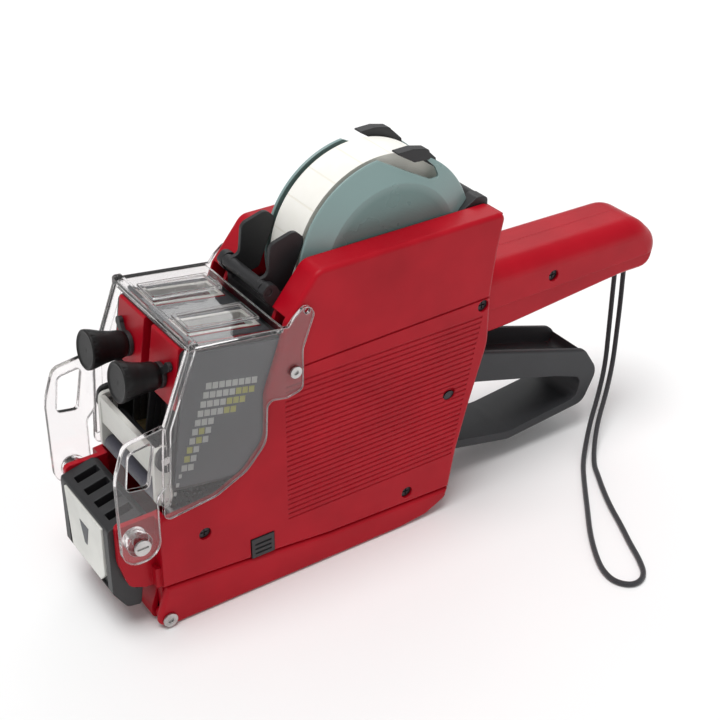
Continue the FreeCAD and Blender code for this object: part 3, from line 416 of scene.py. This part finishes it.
PLATE_Y = 22.8
INK_THICK = 0.05
ROW_DROP = (1.62, -3.05)         # from one row of blocks to the next (x, z)
ROW_ALONG = (-0.97, -0.205)      # direction along a row
ROW_LEAN = 0.72                  # share of the sideways drop that the rows follow
BLOCK_PITCH = 2.4
BLOCK_SLANT = 0.3
LARGE_BLOCK = (2.05, 2.3)        # width and height
SMALL_BLOCK = (1.1, 1.5)
FIRST_SMALL_ROW = 10
# Each row of the size chart: its number of blocks, and which of them are yellow.
ROWS = [
    (8, ()), (8, (5, 6, 7)), (7, (4, 5, 6)), (6, (4, 5)), (3, ()), (3, (1,)), (3, (1,)),
    (2, (0,)), (2, (0,)), (2, ()), (1, ()), (1, ()), (1, ()),
]
CHART_TOP = (29.4, 89.6)


def chart_blocks(mesh, side, yellow):
    y0, y1 = sorted((side * PLATE_Y, side * (PLATE_Y + INK_THICK)))
    for row, (count, tinted) in enumerate(ROWS):
        wide, tall = LARGE_BLOCK if row < FIRST_SMALL_ROW else SMALL_BLOCK
        dx, dz = ROW_ALONG[0] * wide, ROW_ALONG[1] * wide
        for column in range(count):
            if (column in tinted) != yellow:
                continue
            x = CHART_TOP[0] + row * ROW_DROP[0] * ROW_LEAN + column * BLOCK_PITCH * ROW_ALONG[0]
            z = CHART_TOP[1] + row * ROW_DROP[1] + column * BLOCK_PITCH * ROW_ALONG[1]
            corners = [(x, z), (x + dx, z + dz), (x + dx + BLOCK_SLANT, z + dz - tall),
                       (x + BLOCK_SLANT, z - tall)]
            prism(mesh, corners, y0, y1)


for name, side in (("left", 1), ("right", -1)):
    for label, mat, yellow in (("white", print_white, False), ("yellow", print_yellow, True)):
        mesh_piece(f"chart_{label}_{name}", mat, "print_head",
                   lambda mesh, s=side, w=yellow: chart_blocks(mesh, s, w))


# ---------------------------------------------------------------- window frames and nose mark
WINDOW_X = (9.0, 33.2)           # window opening in the level head case
WINDOW_Y = (6.9, 16.1)
CASE_TOP = 106.3
KNOB = (54.2, 92.2)
HEAD_TILT = math.radians(8.8)
# Section of a frame: distance outwards from the opening's edge, and height.
FRAME_TOP = CASE_TOP + 0.16
FRAME_FOOT = 103.9
FRAME_SECTION = [(1.15, CASE_TOP), (1.15, FRAME_TOP), (-0.3, FRAME_TOP), (-0.3, FRAME_FOOT),
                 (0.0, FRAME_FOOT), (0.0, CASE_TOP)]


def lean(x, y, z):
    """Point of the level head, leaned back about the knob face."""
    dx, dz = x - KNOB[0], z - KNOB[1]
    sine, cosine = math.sin(HEAD_TILT), math.cos(HEAD_TILT)
    return mm(KNOB[0] + dx * cosine - dz * sine, y, KNOB[1] + dx * sine + dz * cosine)


def window_frame(mesh, side):
    rings = []
    for end_x, end_y in ((0, 0), (1, 0), (1, 1), (0, 1)):
        out_x, out_y = 2 * end_x - 1, 2 * end_y - 1
        ring = []
        for far, z in FRAME_SECTION:
            x = WINDOW_X[end_x] + out_x * far
            y = side * (WINDOW_Y[end_y] + out_y * far)
            ring.append(mesh.verts.new(lean(x, y, z)))
        rings.append(ring)
    for ring, following in zip(rings, rings[1:] + rings[:1]):
        for i in range(len(ring)):
            j = (i + 1) % len(ring)
            mesh.faces.new((ring[i], ring[j], following[j], following[i]))


for name, side in (("left", 1), ("right", -1)):
    mesh_piece(f"window_frame_{name}", white, "print_head",
               lambda mesh, s=side: window_frame(mesh, s))

NOSE_MARK = [(-3.4, 34.6), (3.4, 34.6), (0.9, 26.4), (-0.9, 26.4)]
NOSE_FACE = (65.8, 65.9)


def nose_mark(mesh):
    back = [mesh.verts.new(mm(NOSE_FACE[0], y, z)) for y, z in NOSE_MARK]
    front = [mesh.verts.new(mm(NOSE_FACE[1], y, z)) for y, z in NOSE_MARK]
    close_between(mesh, back, front)


mesh_piece("nose_mark", mark_grey, "housing", nose_mark)


# ---------------------------------------------------------------- floor, lights and world
def add_floor():
    data = bpy.data.meshes.new("floor")
    mesh = bmesh.new()
    bmesh.ops.create_grid(mesh, x_segments=1, y_segments=1, size=3.0)
    mesh.to_mesh(data)
    mesh.free()
    s = Shade("floor", Roughness=0.9)
    s.link(s.mix(s.ramp(s.noise(6.0), 0.3, 0.7), (0.90, 0.90, 0.90, 1), (0.92, 0.92, 0.92, 1)), "Base Color")
    data.materials.append(s.mat)
    floor = bpy.data.objects.new("floor", data)
    bpy.context.scene.collection.objects.link(floor)


def add_area(name, place, target, size, power):
    data = bpy.data.lights.new(name, "AREA")
    data.shape = "DISK"
    data.size = size
    data.energy = power
    light = bpy.data.objects.new(name, data)
    light.location = place
    light.rotation_euler = (Vector(target) - Vector(place)).to_track_quat("-Z", "Y").to_euler()
    bpy.context.scene.collection.objects.link(light)


def add_sun(name, toward, strength, width):
    data = bpy.data.lights.new(name, "SUN")
    data.energy = strength
    data.angle = math.radians(width)
    light = bpy.data.objects.new(name, data)
    light.rotation_euler = Vector(toward).to_track_quat("Z", "Y").to_euler()
    bpy.context.scene.collection.objects.link(light)


MIDDLE = (-0.04, 0.0, 0.06)
WORLD_STRENGTH = 0.42

add_floor()
add_sun("key", (0.18, 0.06, 1.0), 2.1, 35.0)
add_area("fill", (-0.3, 0.9, 0.6), MIDDLE, 0.9, 0.5)
add_area("rim", (-0.6, -0.7, 0.8), MIDDLE, 0.7, 1.6)

world = bpy.data.worlds.new("studio")
world.use_nodes = True
world.node_tree.nodes["Background"].inputs["Color"].default_value = (1.0, 1.0, 1.0, 1.0)
world.node_tree.nodes["Background"].inputs["Strength"].default_value = WORLD_STRENGTH
bpy.context.scene.world = world
bpy.context.scene.view_settings.view_transform = "Standard"
